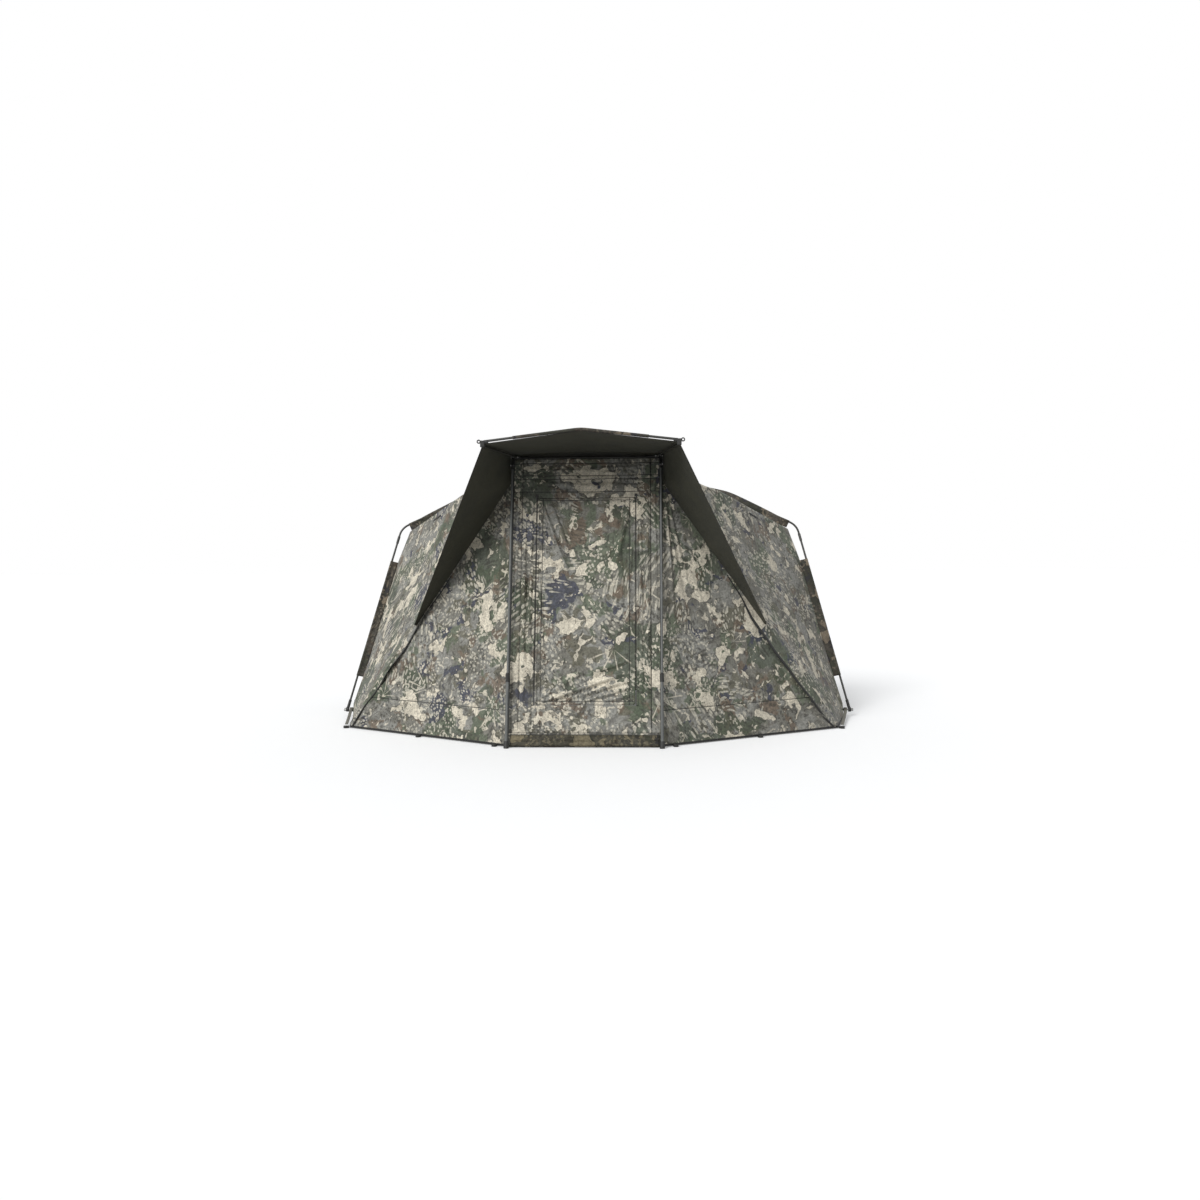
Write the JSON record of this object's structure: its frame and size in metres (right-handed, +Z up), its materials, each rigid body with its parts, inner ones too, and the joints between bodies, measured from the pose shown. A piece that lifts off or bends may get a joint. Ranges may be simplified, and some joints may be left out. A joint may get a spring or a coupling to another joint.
{
  "type": "fishing shelter",
  "caption": "Peaked camouflage shelter on a pram-hood frame: folding ribs on side axles, a jutting peak, front storm poles and a zipped door.",
  "frame": {"origin": "on the ground, under the middle of the bounding box", "axes": "+Z up, the door and the peak face -Y, +X to the right of someone looking at the door"},
  "size_m": [3.02, 2.562, 1.5668],
  "materials": {
    "camo_cloth": "matt woven cloth with a blotched and speckled camouflage print",
    "sleeve_cloth": "matt dark brown printed cloth",
    "rib_tube": "satin near-black coating",
    "pole_tube": "satin dark grey coating",
    "moulding": "matt black moulded nylon",
    "steel_pin": "plain steel",
    "webbing": "matt woven webbing",
    "zip": "matt dark coil and tape"
  },
  "bodies": {
    "front": {"pivot_blocks": "moulding", "pivot_axles": "steel_pin", "axle_spacers": "moulding", "front_rib_feet": "moulding", "front_rib_legs": "rib_tube", "front_rib_bar": "rib_tube", "front_rib_corners": "moulding", "corner_pins": "steel_pin", "front_header": "camo_cloth", "front_sill": "camo_cloth", "corner_zip_flaps": "sleeve_cloth", "door_zip_outer": "zip", "cabin_roof_front": "camo_cloth", "corner_straps": "webbing", "front_eyelets": "moulding", "front_jamb_left": "camo_cloth", "front_jamb_right": "camo_cloth", "front_side_left": "camo_cloth", "front_side_right": "camo_cloth", "cabin_side_front_left": "camo_cloth", "cabin_side_front_right": "camo_cloth"},
    "centre_rib": {"centre_rib_feet": "moulding", "centre_rib_legs": "rib_tube", "centre_rib_ferrules": "rib_tube", "centre_rib_bow": "rib_tube", "rib_sleeve_top": "sleeve_cloth", "rib_sleeves_lower": "sleeve_cloth", "cabin_roof_rear": "camo_cloth", "cabin_side_rear_left": "camo_cloth", "cabin_side_rear_right": "camo_cloth"},
    "rear_rib": {"rear_rib_feet": "moulding", "rear_rib_legs": "rib_tube", "rear_rib_ferrules": "rib_tube", "rear_rib_bow": "rib_tube", "back_wall": "camo_cloth", "rear_eyelets": "moulding", "back_side_left": "camo_cloth", "back_side_right": "camo_cloth"},
    "peak": {"peak_bar": "rib_tube", "peak_bar_sleeve": "sleeve_cloth", "peak_arms": "rib_tube", "peak_knuckles": "moulding", "peak_roof": "camo_cloth", "peak_side_left": "camo_cloth", "peak_side_right": "camo_cloth"},
    "door": {"door_panel": "camo_cloth", "door_zip_inner": "zip"},
    "pole_left": {"storm_pole_inner_left": "pole_tube", "storm_pole_head_left": "moulding"},
    "pole_lower_left": {"storm_pole_outer_left": "pole_tube", "storm_pole_foot_left": "moulding"},
    "collar_left": {"storm_pole_collar_left": "moulding"},
    "slider_left": {"door_slider_left": "zip"},
    "pole_right": {"storm_pole_inner_right": "pole_tube", "storm_pole_head_right": "moulding"},
    "pole_lower_right": {"storm_pole_outer_right": "pole_tube", "storm_pole_foot_right": "moulding"},
    "collar_right": {"storm_pole_collar_right": "moulding"},
    "slider_right": {"door_slider_right": "zip"}
  },
  "joints": [
    {"name": "centre_fold", "type": "hinge", "parent": "front", "child": "centre_rib", "pos_m": [0, -0.03, 0.04], "axis": [1, 0, 0], "range_deg": [0, 38], "deforming": ["cabin_side_front_left", "cabin_side_front_right", "cabin_roof_front"]},
    {"name": "rear_fold", "type": "hinge", "parent": "centre_rib", "child": "rear_rib", "pos_m": [0, -0.03, 0.04], "axis": [1, 0, 0], "range_deg": [0, 28], "deforming": ["cabin_side_rear_left", "cabin_side_rear_right", "cabin_roof_rear"]},
    {"name": "peak_fold", "type": "hinge", "parent": "front", "child": "peak", "pos_m": [0, -0.778, 1.47], "axis": [1, 0, 0], "range_deg": [0, 35], "deforming": ["peak_side_left", "peak_side_right", "peak_roof"]},
    {"name": "door_open", "type": "hinge", "parent": "front", "child": "door", "pos_m": [0, -1.08608, 0.20381], "axis": [1, 0, 0], "range_deg": [0, 110]},
    {"name": "pole_swing_left", "type": "hinge", "parent": "front", "child": "pole_left", "pos_m": [-0.387, -0.80541, 1.425], "axis": [-1, 0, 0], "range_deg": [0, 30]},
    {"name": "pole_slide_left", "type": "slide", "parent": "pole_left", "child": "pole_lower_left", "axis": [0, 0.2478, 0.9688], "range_m": [0, 0.19]},
    {"name": "collar_twist_left", "type": "hinge", "parent": "pole_lower_left", "child": "collar_left", "pos_m": [-0.387, -0.80541, 1.425], "axis": [0, 0.2478, 0.9688], "range_deg": [0, 90]},
    {"name": "zip_left", "type": "slide", "parent": "front", "child": "slider_left", "axis": [0, -0.2478, -0.9688], "range_m": [0, 1.115]},
    {"name": "pole_swing_right", "type": "hinge", "parent": "front", "child": "pole_right", "pos_m": [0.387, -0.80541, 1.425], "axis": [-1, 0, 0], "range_deg": [0, 30]},
    {"name": "pole_slide_right", "type": "slide", "parent": "pole_right", "child": "pole_lower_right", "axis": [0, 0.2478, 0.9688], "range_m": [0, 0.19]},
    {"name": "collar_twist_right", "type": "hinge", "parent": "pole_lower_right", "child": "collar_right", "pos_m": [0.387, -0.80541, 1.425], "axis": [0, 0.2478, 0.9688], "range_deg": [0, 90]},
    {"name": "zip_right", "type": "slide", "parent": "front", "child": "slider_right", "axis": [0, -0.2478, -0.9688], "range_m": [0, 1.115]}
  ]
}
